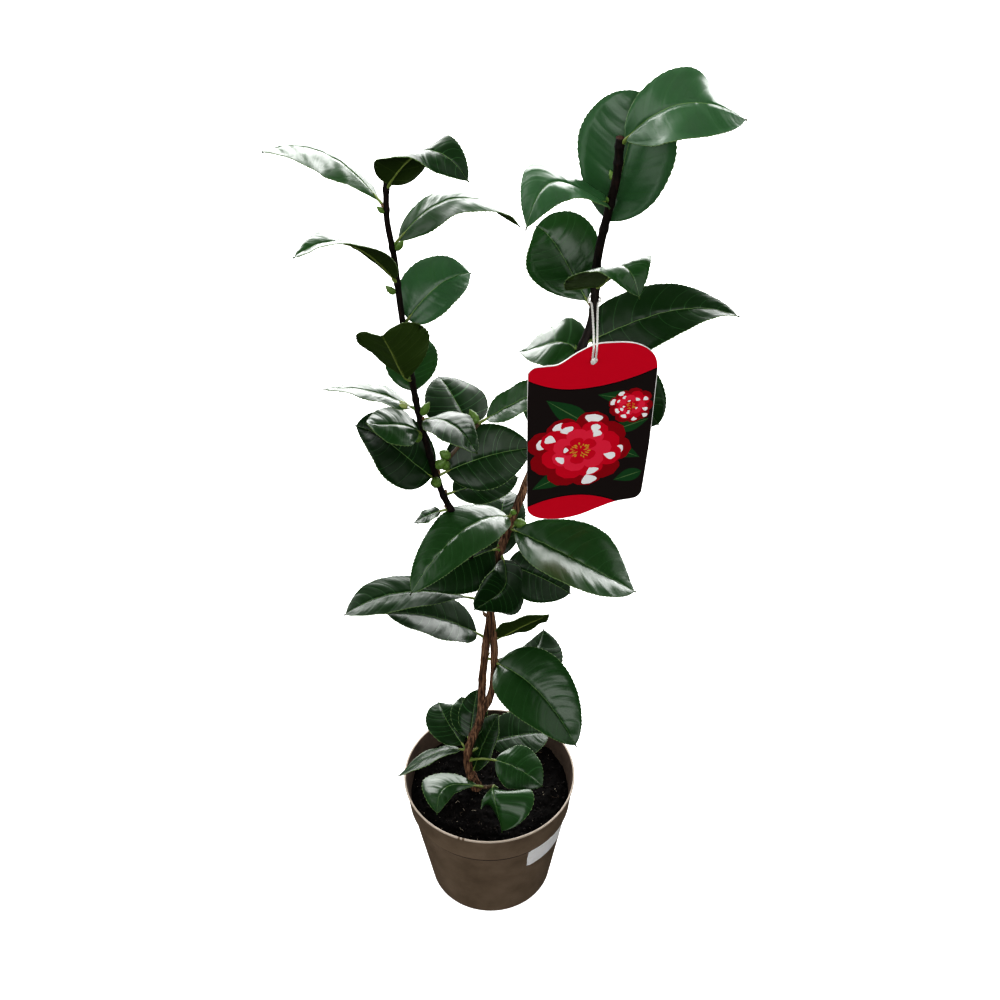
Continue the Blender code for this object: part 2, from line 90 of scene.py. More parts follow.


# Each mass of foliage: the CAD node that it stands for, its limb, and its leaves.
# The rows that give a belly are results of an outline fit by a program outside this file, so they
# are data and not a design.  The rows of foot_back_leaves and the fourth of foot_leaves aren't.
# Rows with tone=0 are leaves inside the crown and low down, whose deep tone is painted shade; rows with
# tone=2 take the fresh tone's painted sheen.
FOLIAGE = {
    "left_tip_leaves": ("left", [
        leaf(683, -171, 73, 46, 11, 50, roll=-38, twist=56, fold=(17, -18, -8, 0), belly=0.57, bow=18,
             hook=1),
        leaf(697, -25, 58, 17, 25, 42, roll=-72, twist=108, fold=(26, 3, 11, 10), belly=0.40, bow=4,
             hook=-2)]),
    "left_upper_leaves": ("left", [
        leaf(655, -7, 83, 20, 27, 34, roll=34, twist=-85, fold=(11, -10, 13, -5), belly=0.48, bow=-1),
        leaf(628, -144, 74, 45, 23, 37, roll=32, twist=-16, fold=(3, 29, 17, 29), belly=0.48, bow=-8,
             hook=-1)]),
    "left_middle_leaves": ("left", [
        leaf(594, 23, 50, 29, 11, 47, roll=34, twist=-7, fold=(13, 32, 13, 21), belly=0.39, bow=1, tone=2)]),
    "left_fork_leaves": ("left", [
        leaf(550, -122, 31, 53, -6, 57, roll=-4, twist=42, fold=(34, 12, 33, 44), belly=0.68, bow=-1,
             hook=-3, sag=0.05),
        leaf(532, 92, 44, 28, 3, 39, roll=-3, twist=10, fold=(6, 18, 7, 26), belly=0.48, bow=-2, hook=-1)]),
    "left_shoulder_leaves": ("left", [
        leaf(522, -172, 65, 26, 7, 31, roll=13, twist=7, fold=(2, 21, 14, -1), belly=0.45, bow=1),
        leaf(513, -33, 48, -10, 11, 45, roll=-14, twist=3, fold=(8, 8, 9, 14), belly=0.42, bow=-2),
        leaf(498, -153, 44, 28, 6, 37, roll=-27, twist=14, fold=(6, 2, 12, -4), belly=0.45, bow=-2, hook=2)]),
    "left_elbow_leaves": ("left", [
        leaf(493, 124, 46, 21, 0, 57, roll=13, fold=(7, 8, 12, 2), belly=0.39, bow=1, hook=-2, limb="twig"),
        leaf(498, -4, 58, 38, 2, 28, roll=10, fold=(40, 10), limb="twig"),
        leaf(455, -175, 57, 55, 6, 54, roll=-40, twist=17, fold=(11, 27, 29, 30), belly=0.46, bow=-2,
             hook=-2, tone=0),
        leaf(459, 16, 74, 10, 5, 50, roll=48, tone=0)]),
    "left_knee_leaves": ("left", [
        leaf(440, 20, 60, 0, 2, 36, roll=20, tone=0),
        leaf(426, -172, 28, -10, 2, 15)]),
    "centre_upper_leaves": ("right", [
        leaf(406, -139, 102, -18, 24, 46, roll=-5, fold=(6, 12), tone=2),
        leaf(396, -31, 111, -16, 12, 68, roll=15, twist=-26, fold=(42, 21, 4, 19), belly=0.59, bow=9)]),
    "centre_lower_leaves": ("right", [
        leaf(377, -156, 64, -18, 6, 52, roll=-30, tone=0),
        leaf(374, -122, 40, -31, -1, 56, roll=-46, twist=-21, fold=(-11, 43, 19, 2), belly=0.44,
             bow=-15, hook=-3, tone=0),
        leaf(362, 0, 58, -34, 4, 44, roll=45, tone=0),
        leaf(360, 84, 66, 22, 12, 40, tone=0)]),
    "low_left_leaf": ("left", [
        leaf(326, -167, 114, 11, 17, 40, roll=-5, twist=7, fold=(8, 13, 17, 18), belly=0.63, bow=1,
             hook=-2, stalk=16)]),
    "low_front_left_leaf": ("trunk", [
        leaf(274, -165, 82, 50, 10, 50, roll=-6, fold=(14, 30), stalk=14, tone=0)]),
    "low_right_leaf": ("trunk", [
        leaf(266, -9, 52, 43, 2, 46, roll=-52, stalk=17)]),
    "low_back_leaf": ("trunk", [
        leaf(251, 24, 55, 12, 1, 54, roll=10, fold=(7, 23, 6, -16), belly=0.58, bow=19, hook=2,
             stalk=12, halves=(0.4, 1))]),
    "low_front_leaf": ("left", [
        leaf(256, -40, 87, -42, 19, 65, roll=19, twist=-10, fold=(30, 20, 27, 24), belly=0.46,
             hook=-1, stalk=6)]),
    "foot_back_leaves": ("trunk", [
        leaf(148, 124, 46, 22, 5, 40, bow=-4, belly=0.5, tone=0),
        leaf(152, 78, 38, 34, 4, 26, tone=0),
        leaf(154, 100, 40, 20, 4, 26, tone=0)]),
    "foot_leaves": ("trunk", [
        leaf(149, -168, 63, -18, 10, 29, roll=30, twist=-3, fold=(8, 12, 9, 10), belly=0.50, bow=1, hook=1),
        leaf(146, 18, 76, -2, 8, 48, roll=10, stalk=22, tone=0),
        leaf(128, -149, 49, -5, -4, 39, roll=1, twist=-13, fold=(-21, -10, -31, 47), belly=0.63,
             bow=23, hook=-2, halves=(0.5, 1), limb="sucker", tone=1),
        leaf(138, -27, 73, 4, 14, 46, roll=6, fold=(14, -20, 10, -6), belly=0.46, stalk=32,
             halves=(1, 0.75), tone=1),
        leaf(137, -81, 43, -9, 22, 61, roll=-6, twist=69, fold=(-18, -18, -25, -24), belly=0.69,
             bow=4, hook=-3, halves=(1, 0.72), limb="sucker", tone=1),
        leaf(123, 32, 29, 62, 5, 30, tone=0)]),
    "right_tip_leaves": ("right", [
        leaf(715, -17, 78, 27, 24, 58, roll=48, twist=-34, fold=(14, 14, -44, 8), belly=0.53, bow=11,
             sag=0.1, tone=2)]),
    "right_upper_leaves": ("right", [
        leaf(674, -150, 64, -1, 21, 60, roll=-28, twist=26, fold=(37, -4, -11, 10), belly=0.34, bow=8,
             hook=-6, stalk=3, tone=2),
        leaf(655, 45, 34, 83, 7, 72, roll=2, twist=13, fold=(20, 10, 35, 21), belly=0.50, bow=2,
             hook=-4, tone=2)]),
    "right_middle_leaves": ("right", [
        leaf(591, 145, 48, 50, 3, 59, roll=-45, twist=20, fold=(15, 10, 31, 16), belly=0.58, bow=2, hook=-3),
        leaf(609, -60, 51, 18, 19, 63, roll=-15, twist=5, fold=(36, 7, 9, 7), belly=0.28, bow=2, hook=-7)]),
    "right_side_leaf": ("right", [
        leaf(562, -7, 106, 29, 18, 48, roll=43, twist=-30, fold=(19, -1, 5, 48), belly=0.32, bow=6,
             hook=-2)]),
    "right_waist_leaves": ("right", [
        leaf(542, 4, 65, -56, 10, 54, roll=17, twist=40, fold=(24, 18, 34, 24), belly=0.58, bow=-1, hook=-2),
        leaf(554, 158, 45, -9, 7, 46, roll=-22, twist=39, fold=(-6, 16, 14, 38), belly=0.34, bow=1,
             hook=3, stalk=3)]),
    "right_back_leaves": ("right", [
        leaf(496, 58, 74, -24, 14, 40, roll=10),
        leaf(474, 80, 78, 4, 16, 44)]),
}


def through(points, step):
    """Points at an even step along a smooth curve through the given points."""
    ends = [points[0] * 2 - points[1]] + points + [points[-1] * 2 - points[-2]]
    out = []
    for i in range(1, len(ends) - 2):
        before, start, end, after = ends[i - 1], ends[i], ends[i + 1], ends[i + 2]
        count = max(1, round((end - start).length / step))
        for k in range(count):
            t = k / count
            out.append(0.5 * ((2 * start) + (end - before) * t
                              + (2 * before - 5 * start + 4 * end - after) * t * t
                              + (3 * start - before - 3 * end + after) * t * t * t))
    out.append(points[-1].copy())
    return out


def in_metres(course):
    return [Vector(point) * MM for point in course]


def towards(angle, height=0.0):
    """A level unit vector towards an angle, with a height if one is given."""
    return Vector((math.cos(angle), math.sin(angle), height))


def between(low, high, share):
    return low + (high - low) * share


def limb_at(limb, height):
    """The limb's axis, radius and direction at a height in metres."""
    course, foot_radius, tip_radius = LIMBS[limb]
    points = through(in_metres(course), 4 * MM)
    share = (height - points[0].z) / (points[-1].z - points[0].z)
    radius = between(foot_radius, tip_radius, share) * MM
    for low, high in zip(points, points[1:]):
        if low.z <= height <= high.z:
            return low.lerp(high, (height - low.z) / (high.z - low.z)), radius, (high - low).normalized()
    return points[-1].copy(), radius, (points[-1] - points[-2]).normalized()


# ---- leaf shape


def outline(s, belly):
    """A blade's half width as a share of its widest, from its foot (0) to its tip (1)."""
    spread = TAPER * belly / (1 - belly)
    body = 0.0
    if s < BODY_END:
        x = s / BODY_END
        body = (x / belly) ** spread * ((1 - x) / (1 - belly)) ** TAPER
    tip = TIP_SLOPE * (1 - s) if s > TIP_START else 0.0
    return (body ** 3 + tip ** 3) ** (1 / 3)


class Run:
    """A leaf's run through space: from its limb, out along its stalk, to its tip."""

    def __init__(self, limb, row):
        self.row = row
        self.limb_name = row["limb"] or limb
        self.start, self.girth, self.limb_way = limb_at(self.limb_name, row["height"] * MM)
        self.heading = towards(math.radians(row["compass"]))
        self.across = self.heading.cross(UP)
        steps = 40
        marks = [self.point(k / steps) for k in range(steps + 1)]
        gone = [0.0]
        for a, b in zip(marks, marks[1:]):
            gone.append(gone[-1] + (b - a).length)
        self.length = gone[-1]
        self.foot = next(k / steps for k in range(steps) if gone[k + 1] > row["stalk"] * MM)
        self.blade_length = self.length - row["stalk"] * MM

    def point(self, t):
        """The point at a share t of the run, stalk included."""
        row = self.row
        swell = t * (1 - t)
        rise = row["rise"] * t + 4 * row["arch"] * swell + 20.8 * row["hook"] * swell * (0.5 - t)
        out = self.heading * (row["reach"] * t * MM)
        aside = self.across * (4 * row["bow"] * swell * MM)
        return self.start + out + aside + UP * (rise * MM)

    def frame(self, t):
        """The direction of the run, the blade's right and the way that its face looks."""
        step = 0.01
        way = (self.point(t + step) - self.point(t - step)).normalized()
        right = (self.across - way * self.across.dot(way)).normalized()
        turn = self.row["roll"] + self.row["twist"] * (t - self.foot) / (1 - self.foot)
        right.rotate(Quaternion(way, math.radians(turn)))
        return way, right, right.cross(way)

    def place(self, s, side, out, lift):
        """The point out from the midrib (a length, on side -1 or 1) and lifted off the blade's plane."""
        t = self.foot + (1 - self.foot) * s
        way, right, face = self.frame(t)
        which = 0 if side < 0 else 1
        fold = self.row["fold"][which] * (1 - s * s) + self.row["tip_fold"][which] * s * s
        fold = math.radians(fold)
        full_half = 0.5 * self.row["width"] * self.row["halves"][which] * MM
        half = full_half * max(outline(s, self.row["belly"]), 0.04)
        q = min(1.0, out / half)
        rise = out * math.sin(fold) - self.row["sag"] * half * q * q + lift
        return self.point(t) + right * (side * out * math.cos(fold)) + face * rise


# ---- meshes


def sheet(bm, columns, rows, at, paint=None):
    """Adds a sheet of quads.  Its vertex in column i and row j goes where at(i, j) says, and
    paint(i, j) gives the material of the face to the right of and above that vertex."""
    made = bmesh.ops.create_grid(bm, x_segments=columns, y_segments=rows, size=1.0)["verts"]
    if paint:
        for face in {face for vert in made for face in vert.link_faces}:
            middle = face.calc_center_median()
            face.material_index = paint(int((middle.x + 1) / 2 * columns), int((middle.y + 1) / 2 * rows))
    for vert in made:
        vert.co = at(round((vert.co.x + 1) / 2 * columns), round((vert.co.y + 1) / 2 * rows))
    return made


def close_up(bm, verts):
    """Joins a sheet's meeting edges and turns its faces outwards."""
    faces = {face for vert in verts for face in vert.link_faces}
    edges = {edge for face in faces for edge in face.edges}
    bmesh.ops.remove_doubles(bm, verts=list({v for e in edges for v in e.verts}), dist=1e-6)
    bmesh.ops.recalc_face_normals(bm, faces=[face for face in faces if face.is_valid])


def sweep(bm, points, radii, sides, relief=None, paint=0):
    """A closed round limb along the points, whose radius relief(angle, j) adds to."""
    last = len(points) - 1
    ways = [(points[min(j + 1, last)] - points[max(j - 1, 0)]).normalized() for j in range(last + 1)]
    side = ways[0].orthogonal().normalized()
    frames = []
    for way in ways:
        side = (side - way * side.dot(way)).normalized()
        frames.append((side.copy(), way.cross(side)))

    def at(i, j):
        ring = min(max(j - 1, 0), last)
        if j in (0, last + 2):
            return points[ring].copy()
        angle = 2 * math.pi * (i % sides) / sides
        radius = radii[ring] + (relief(angle, ring) if relief else 0.0)
        across, along = frames[ring]
        return points[ring] + across * (radius * math.cos(angle)) + along * (radius * math.sin(angle))

    verts = sheet(bm, sides, last + 2, at, paint if callable(paint) else lambda i, j: paint)
    close_up(bm, verts)


def add_piece(name, bm, finishes, stands_for=()):
    """Makes an object of the mesh, riding on the plant's one body and standing for its CAD nodes."""
    mesh = bpy.data.meshes.new(name)
    bm.to_mesh(mesh)
    bm.free()
    for finish in finishes:
        mesh.materials.append(finish)
    mesh.shade_smooth()
    made = bpy.data.objects.new(name, mesh)
    bpy.context.scene.collection.objects.link(made)
    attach(made, "root")
    if stands_for:
        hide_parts(*stands_for)
    return made


# ---- finishes


def linear(code):
    """The linear colour of an sRGB hex code."""
    shares = [int(code[k:k + 2], 16) / 255 for k in (0, 2, 4)]
    return tuple(c / 12.92 if c <= 0.04045 else ((c + 0.055) / 1.055) ** 2.4 for c in shares) + (1.0,)


def node(finish, kind, values=None, links=None, stops=None):
    """Adds a node: values for its options and free sockets, links for the others, stops for a ramp."""
    made = finish.node_tree.nodes.new(kind)
    for key, value in (values or {}).items():
        if isinstance(key, int) or key in made.inputs:
            made.inputs[key].default_value = value
        else:
            setattr(made, key, value)
    for key, source in (links or {}).items():
        finish.node_tree.links.new(source, made.inputs[key])
    if stops:
        band = made.color_ramp.elements
        for k, (place, colour) in enumerate(stops):
            stop = band[k] if k < 2 else band.new(place)
            stop.position = place
            stop.color = linear(colour)
    return made


def finish_named(name, colour, roughness, ior=1.45, **more):
    """A plain finish; more names the shader's other sockets, with _ for a space."""
    finish = bpy.data.materials.new(name)
    finish.use_nodes = True
    shader = finish.node_tree.nodes["Principled BSDF"]
    shader.inputs["Base Color"].default_value = linear(colour)
    shader.inputs["Roughness"].default_value = roughness
    shader.inputs["IOR"].default_value = ior
    for key, value in more.items():
        shader.inputs[key.replace("_", " ")].default_value = value
    return finish


def patterned(name, stops, grain, roughness, stretch=(1, 1, 1), depth=0.3, fine=None, gleam=0.5):
    """A finish whose colour and relief follow noise of a grain in millimetres, stretched along an axis."""
    finish = finish_named(name, stops[0][1], roughness, Specular_IOR_Level=gleam)
    tree = finish.node_tree
    shader = tree.nodes["Principled BSDF"]
    place = node(finish, "ShaderNodeTexCoord")
    turn = node(finish, "ShaderNodeMapping", {"Scale": stretch}, {"Vector": place.outputs["Object"]})
    cloud = node(finish, "ShaderNodeTexNoise", {"Scale": 1 / (grain * MM), "Detail": 6, "Roughness": 0.62},
                 {"Vector": turn.outputs["Vector"]})
    band = node(finish, "ShaderNodeValToRGB", links={"Fac": cloud.outputs["Fac"]}, stops=stops)
    speck = node(finish, "ShaderNodeTexNoise", {"Scale": 1 / ((fine or grain / 6) * MM), "Detail": 3},
                 {"Vector": turn.outputs["Vector"]})
    both = node(finish, "ShaderNodeMath", {"operation": "ADD"},
                {0: cloud.outputs["Fac"], 1: speck.outputs["Fac"]})
    bump = node(finish, "ShaderNodeBump", {"Strength": 1.0, "Distance": depth * MM},
                {"Height": both.outputs["Value"]})
    tree.links.new(band.outputs["Color"], shader.inputs["Base Color"])
    tree.links.new(bump.outputs["Normal"], shader.inputs["Normal"])
    return finish


def leaf_finishes():
    """Plain colours for a leaf's parts: the upper side's six, then the same six seen from below."""
    # a soft sheen on the lit leaves; the deep tone is a darker leaf and, on the rows inside the crown and low
    # down, painted shade with a dimmed gloss; the fresh tone is a fresher green with a painted grey blue
    # sheen in it; a dull underside
    waxy = dict(Coat_Weight=0.15, Coat_Roughness=0.22)
    shaded = dict(Specular_IOR_Level=0.32, Coat_Weight=0.06, Coat_Roughness=0.25)
    dull = dict(Specular_IOR_Level=0.22)
    return [
        finish_named("leaf, deep green with painted shade", "102a0c", 0.36, **shaded),
        finish_named("leaf, green waxy", "1a3d15", 0.32, **waxy),
        finish_named("leaf, fresh green with painted sheen", "2a4e2c", 0.34, **waxy),
        # fine lighter lines that show each blade's build
        finish_named("leaf vein", "285025", 0.40),
        finish_named("leaf midrib, yellow green", "5f7d43", 0.45),
        finish_named("leaf edge, horny pale", "5d7645", 0.45),
        # olive undersides, darker than a real leaf's pale yellow green back: painted shade, as they face down
        # away from the lamps
        finish_named("leaf underside, olive matte, painted shade", "223309", 0.62, **dull),
        finish_named("leaf underside, light olive matte, painted shade", "283b0d", 0.62, **dull),
        finish_named("leaf underside, fresh matte, painted shade", "34470f", 0.60, **dull),
        finish_named("leaf underside vein, painted shade", "35471a", 0.60, **dull),
        finish_named("leaf underside midrib, painted shade", "4a5a26", 0.55, **dull),
        finish_named("leaf underside edge, painted shade", "45552a", 0.60, **dull)]


VEIN, MIDRIB, EDGE, UNDER = 3, 4, 5, 6       # places in leaf_finishes; the first three are tones: deep green, painted shade where a row sets it, green, and fresh green with a painted sheen


# ---- leaves

CHANNEL_DEPTH = 0.32         # of the midrib's channel
BULGE = 0.09                 # how far the blade swells between two veins
GROOVE = 0.07                # how far a vein lies under the blade
PUCKER = 0.30                # uneven swelling, about a centimetre across
GRAIN = 0.07                 # the same, about two millimetres across
WAVE = 0.8                   # ripple of the blade's edge


def vein_rows(rows, offset, rng):
    """The rows of a blade's half in which its side veins run."""
    marks = []
    for k in range(VEINS):
        marks.append(round(rows * (VEIN_START + VEIN_SPAN * (k + offset) / VEINS)) + rng.choice(VEIN_SHIFTS))
    return marks


def add_blade(bm, run, rng):
    """The blade: a sheet from edge to edge, with its teeth, veins, channel and uneven swelling."""
    row = run.row
    length = run.blade_length
    pitch = TOOTH * MM / TOOTH_ROWS
    rows = max(24, round(length / pitch))
    half_widths = {side: 0.5 * row["width"] * part * MM for side, part in zip((-1, 1), row["halves"])}
    lines = len(INNER_LINES)
    per_side = lines + 3
    veins = {-1: vein_rows(rows, 0.15, rng), 1: vein_rows(rows, 0.60, rng)}
    squeeze = 0.5 * max(0.0, pitch - VEIN_WIDTH * MM) / length
    phase = rng.uniform(0, 2 * math.pi)
    ripples = rng.uniform(1.6, 2.6)
    tooth_phase = rng.randrange(TOOTH_ROWS)
    seed_at = Vector((rng.uniform(0, 50), rng.uniform(0, 50), 0))
    # tone picks the upper side: deep green, painted shade on the rows that set it, green, or fresh green with
    # a painted sheen
    tone = row["tone"]
    if rng.random() < DARKER_SHARE:
        tone = max(0, tone - 1)

    def swell(side, j):
        """How far row j lies between two veins: 0 on a vein, 1 half way."""
        before = [mark + 0.5 for mark in veins[side] if mark + 0.5 <= j]
        after = [mark + 0.5 for mark in veins[side] if mark + 0.5 > j]
        low = before[-1] if before else -0.1 * rows
        high = after[0] if after else 1.05 * rows
        return math.sin(math.pi * (j - low) / (high - low)) ** 2

    def at(i, j):
        side = -1 if i < per_side else 1
        step = abs(i - per_side)
        s = j / rows
        line = 0.0 if step <= 1 else 1.0 if step > lines else INNER_LINES[step - 2]
        near = min(1.0, line / INNER_LINES[0])
        if j in veins[side]:
            s += squeeze * near
        elif j - 1 in veins[side]:
            s -= squeeze * near
        s += VEIN_SHEAR * line ** 1.5 * 4 * s * (1 - s)
        s = min(1.0, max(0.0, s))
        half = max(half_widths[side] * outline(s, row["belly"]), 0.9 * MM * (1 - s) ** 6, 0.12 * MM)
        rib = min(RIB_WIDTH * MM * (1 - 0.75 * s), 0.4 * half)
        inner_edge = max(rib, half - EDGE_WIDTH * MM)
        if step == 0:
            depth = CHANNEL_DEPTH * MM * min(1.0, 2.2 * half / (3 * MM)) * (1 - 0.6 * s)
            return run.place(s, 1, 0.0, -depth)
        if step == 1:
            out = rib
        elif step <= lines + 1:
            out = rib + (inner_edge - rib) * line
        elif step == lines + 2:
            out = inner_edge
        if step == per_side:
            tooth = ((j + tooth_phase) % TOOTH_ROWS) / (TOOTH_ROWS - 1)
            fade = min(1.0, max(0.0, (s - TOOTHLESS_FOOT) / 0.1)) * min(1.0, (1 - s) / 0.08)
            out = half + TOOTH_DEPTH * MM * (tooth - 0.5) * fade
        q = out / half
        wide = min(1.0, half / (6 * MM))
        window = math.sin(math.pi * min(1.0, 0.04 + 0.94 * min(q, 1.0))) ** 0.7
        lift = BULGE * swell(side, j) * window * wide
        if j in veins[side] or j - 1 in veins[side]:
            lift -= GROOVE * window
        lift += WAVE * math.sin(2 * math.pi * ripples * s + phase + side) * min(q, 1.0) ** 3 * wide
        spot = Vector((out * side, s * length, 0)) / MM
        pucker = PUCKER * noise.noise(spot * 0.13 + seed_at)
        grain = GRAIN * noise.noise(spot * 0.5 + seed_at)
        lift += (pucker + grain) * 2 * wide
        lift += 0.12 if step == 1 else 0.0
        return run.place(s, side, out, lift * MM)

    def paint(i, j):
        side = -1 if i < per_side else 1
        step = per_side - i if side < 0 else i - per_side + 1
        if step == 1:
            return MIDRIB
        if step == per_side:
            return EDGE
        if j in veins[side] and step < per_side - 1:
            return VEIN
        return tone

    sheet(bm, 2 * per_side, rows, at, paint)


def add_stalk(bm, run):
    """The stalk, and the midrib that stands out under the blade."""
    points = []
    radii = []
    foot = run.foot
    for k in range(9):
        t = foot * k / 8
        points.append(run.point(t))
        radii.append((1.7 if k < 2 else 1.25 - 0.03 * k) * MM)
    for k in range(1, 21):
        s = 0.88 * k / 20
        points.append(run.place(s, 1, 0.0, -(0.98 * min(1.0, k / 2)) * MM))
        radii.append((0.62 - 0.46 * s if k > 1 else 0.8) * MM)
    sweep(bm, points, radii, 8, paint=0)


def grow_foliage(finishes):
    """Each mass of foliage becomes its leaves; their stalks and the side twigs share a piece."""
    rng = random.Random(SEED)
    stalks = bmesh.new()
    runs = []
    for mass, (limb, rows) in FOLIAGE.items():
        bm = bmesh.new()
        for row in rows:
            run = Run(limb, row)
            runs.append(run)
            add_blade(bm, run, rng)
            add_stalk(stalks, run)
        made = add_piece(mass.replace("_lea", "_blade_lea"), bm, finishes, (mass,))
        skin = made.modifiers.new("thickness", "SOLIDIFY")
        skin.thickness = LEAF_THICKNESS * MM
        skin.offset = -1
        # the underside takes the olive finishes, darkened into painted shade
        skin.material_offset = UNDER
        skin.material_offset_rim = 0
    return stalks, runs


# ---- buds


# Each bud: limb, height, compass, tilt from level, gap from the limb, length, width and
# finish (0 green, 1 pale, 2 brown).
BUDS = [
    ("left", 682, -150, 50, 1, 6.9, 4.0, 0), ("left", 655, -25, 55, 2, 9.2, 5.2, 0),
    ("left", 622, -150, 50, 2, 9.2, 5.4, 0), ("left", 521, -30, 62, 2, 13.8, 6.7, 0),
    ("left", 499, -150, 25, 2, 10.3, 9.0, 0), ("left", 528, -165, 30, 6, 9.2, 6.0, 1),
    ("left", 530, -145, 20, 7, 8, 5.6, 1), ("twig", 498, 150, 60, 1, 11.5, 7.8, 0),
    ("twig", 474, -150, 50, 1, 10.3, 8.5, 0), ("twig", 469, -70, 30, 1, 9.2, 8.1, 0),
    ("left", 470, -20, 50, 2, 10.3, 8.3, 0), ("left", 457, -95, 20, 1, 10.3, 9.0, 0),
    ("right", 412, -110, 50, 1, 8, 5.2, 0), ("right", 402, -30, 20, 2, 10.3, 8.5, 0),
    ("right", 719, -15, 55, 5, 10.3, 6.3, 1), ("left", 703, 60, 75, -1, 8, 3.8, 0),
    ("right", 690, 120, 50, 1, 6.9, 4.5, 0), ("trunk", 300, 160, 50, 1, 5.8, 3.8, 2),
]
BUD_SCALES = 3.4             # overlapping scales from a bud's foot to its tip


def add_bud(bm, foot, way, length, width, tone, rng):
    """A pointed bud of overlapping scales."""
    turn = rng.uniform(0, 2 * math.pi)
    rings = 12
    blunt = min(1.0, width / length)
    points = [foot + way * (length * MM * k / rings) for k in range(rings + 1)]
    radii = []
    for k in range(rings + 1):
        u = k / rings
        body = math.sin(math.pi * min(1.0, 0.10 + 0.90 * u) ** (0.85 - 0.25 * (1 - blunt)))
        radii.append(0.5 * width * MM * max(0.04, body ** 0.7 * (1 - 0.35 * max(0.0, u - 0.55))))

    def relief(angle, j):
        u = j / rings
        cycle = (BUD_SCALES * u + (angle + turn) / math.pi) % 1.0
        return -0.24 * radii[j] * cycle * min(1.0, 4 * (1 - u)) * min(1.0, 5 * u)

    sweep(bm, points, radii, 14, relief, tone)


def make_buds(runs):
    """The buds of the table, and a small one at each leaf."""
    rng = random.Random(SEED + 1)
    bm = bmesh.new()
    for limb, height, compass, tilt, gap, length, width, tone in BUDS:
        axis, radius, _ = limb_at(limb, height * MM)
        lean = math.radians(tilt)
        outwards = towards(math.radians(compass))
        way = outwards * math.cos(lean) + UP * math.sin(lean)
        add_bud(bm, axis + outwards * (0.6 * radius + gap * MM), way, length, width, tone, rng)
    for run in runs:                                   # a small bud sits above the foot of each stalk
        level = run.heading
        way = (level * 0.55 + run.limb_way * rng.uniform(0.7, 1.1)).normalized()
        foot = run.start + level * (run.girth * 0.7) + run.limb_way * (1.8 * MM)
        add_bud(bm, foot, way, rng.uniform(3.4, 5.2), rng.uniform(2.2, 3.0), rng.choice((0, 0, 1, 2)), rng)
    finishes = [                                       # bright spots of green along the dark limbs
        finish_named("bud, plump green", "5a7833", 0.42),
        finish_named("bud, pale yellow green", "8e9b5a", 0.45),
        finish_named("bud, brown scaled", "6b5138", 0.55)]
    return add_piece("buds", bm, finishes)


# ---- limbs

FLARE_HEIGHT = 30            # the stem widens over this height above the compost
BARK_CHANGE = 60             # old bark gives way to young over this height
NODE_SWELL = 2.2             # half height of the swelling at a node
BARE_NODE_GAPS = (22, 34)    # spacing of the nodes that have lost their leaf
LEAF_NODE_GAP = 9            # a bare node keeps this far from a leaf's


def bark_relief(points, radii, nodes, seed, fibrous):
    """Ridges that run along old wood, and a swelling at each node of a shoot."""
    swell = []
    for point in points:
        near = min((abs(point.z - height) for height in nodes), default=1.0)
        swell.append(math.exp(-(near / (NODE_SWELL * MM)) ** 2))

    def relief(angle, j):
        height = points[j].z / MM
        x, y = math.cos(angle) * radii[j] / MM, math.sin(angle) * radii[j] / MM
        ridge = noise.noise(Vector((x * 0.9, y * 0.9, height / 24 + seed)))
        thread = noise.noise(Vector((x * 2.4, y * 2.4, height / 15 - seed)))
        old = fibrous(height)
        return (0.45 * ridge * old + 0.42 * thread * (0.25 + old) + (0.5 - 0.2 * old) * swell[j]) * MM

    return relief


def make_limb(name, limb, nodes, finishes, old_below, sides, flare=0.0, stub=False, stands_for=()):
    """A limb with fibrous old bark below a height and smooth young bark above it."""
    course, foot_radius, tip_radius = LIMBS[limb]
    points = through(in_metres(course), 0.9 * MM)
    length = points[-1].z - points[0].z
    radii = []
    for point in points:
        share = (point.z - points[0].z) / length
        radius = between(foot_radius, tip_radius, share) * MM
        rise = (point.z - points[0].z) / MM
        radius += flare * MM * max(0.0, 1 - rise / FLARE_HEIGHT) ** 2
        radii.append(radius)
    rng = random.Random(len(points))

    def fibrous(height):
        return min(1.0, max(0.0, (old_below - height) / BARK_CHANGE + 0.5))

    def paint(i, j):
        height = points[min(max(j - 1, 0), len(points) - 1)].z / MM
        if stub and j >= len(points):
            return 2
        return 0 if fibrous(height) > rng.uniform(0.3, 0.7) else 1

    bm = bmesh.new()
    sweep(bm, points, radii, sides, bark_relief(points, radii, nodes, len(points) * 0.37, fibrous), paint)
    return add_piece(name, bm, finishes, stands_for)


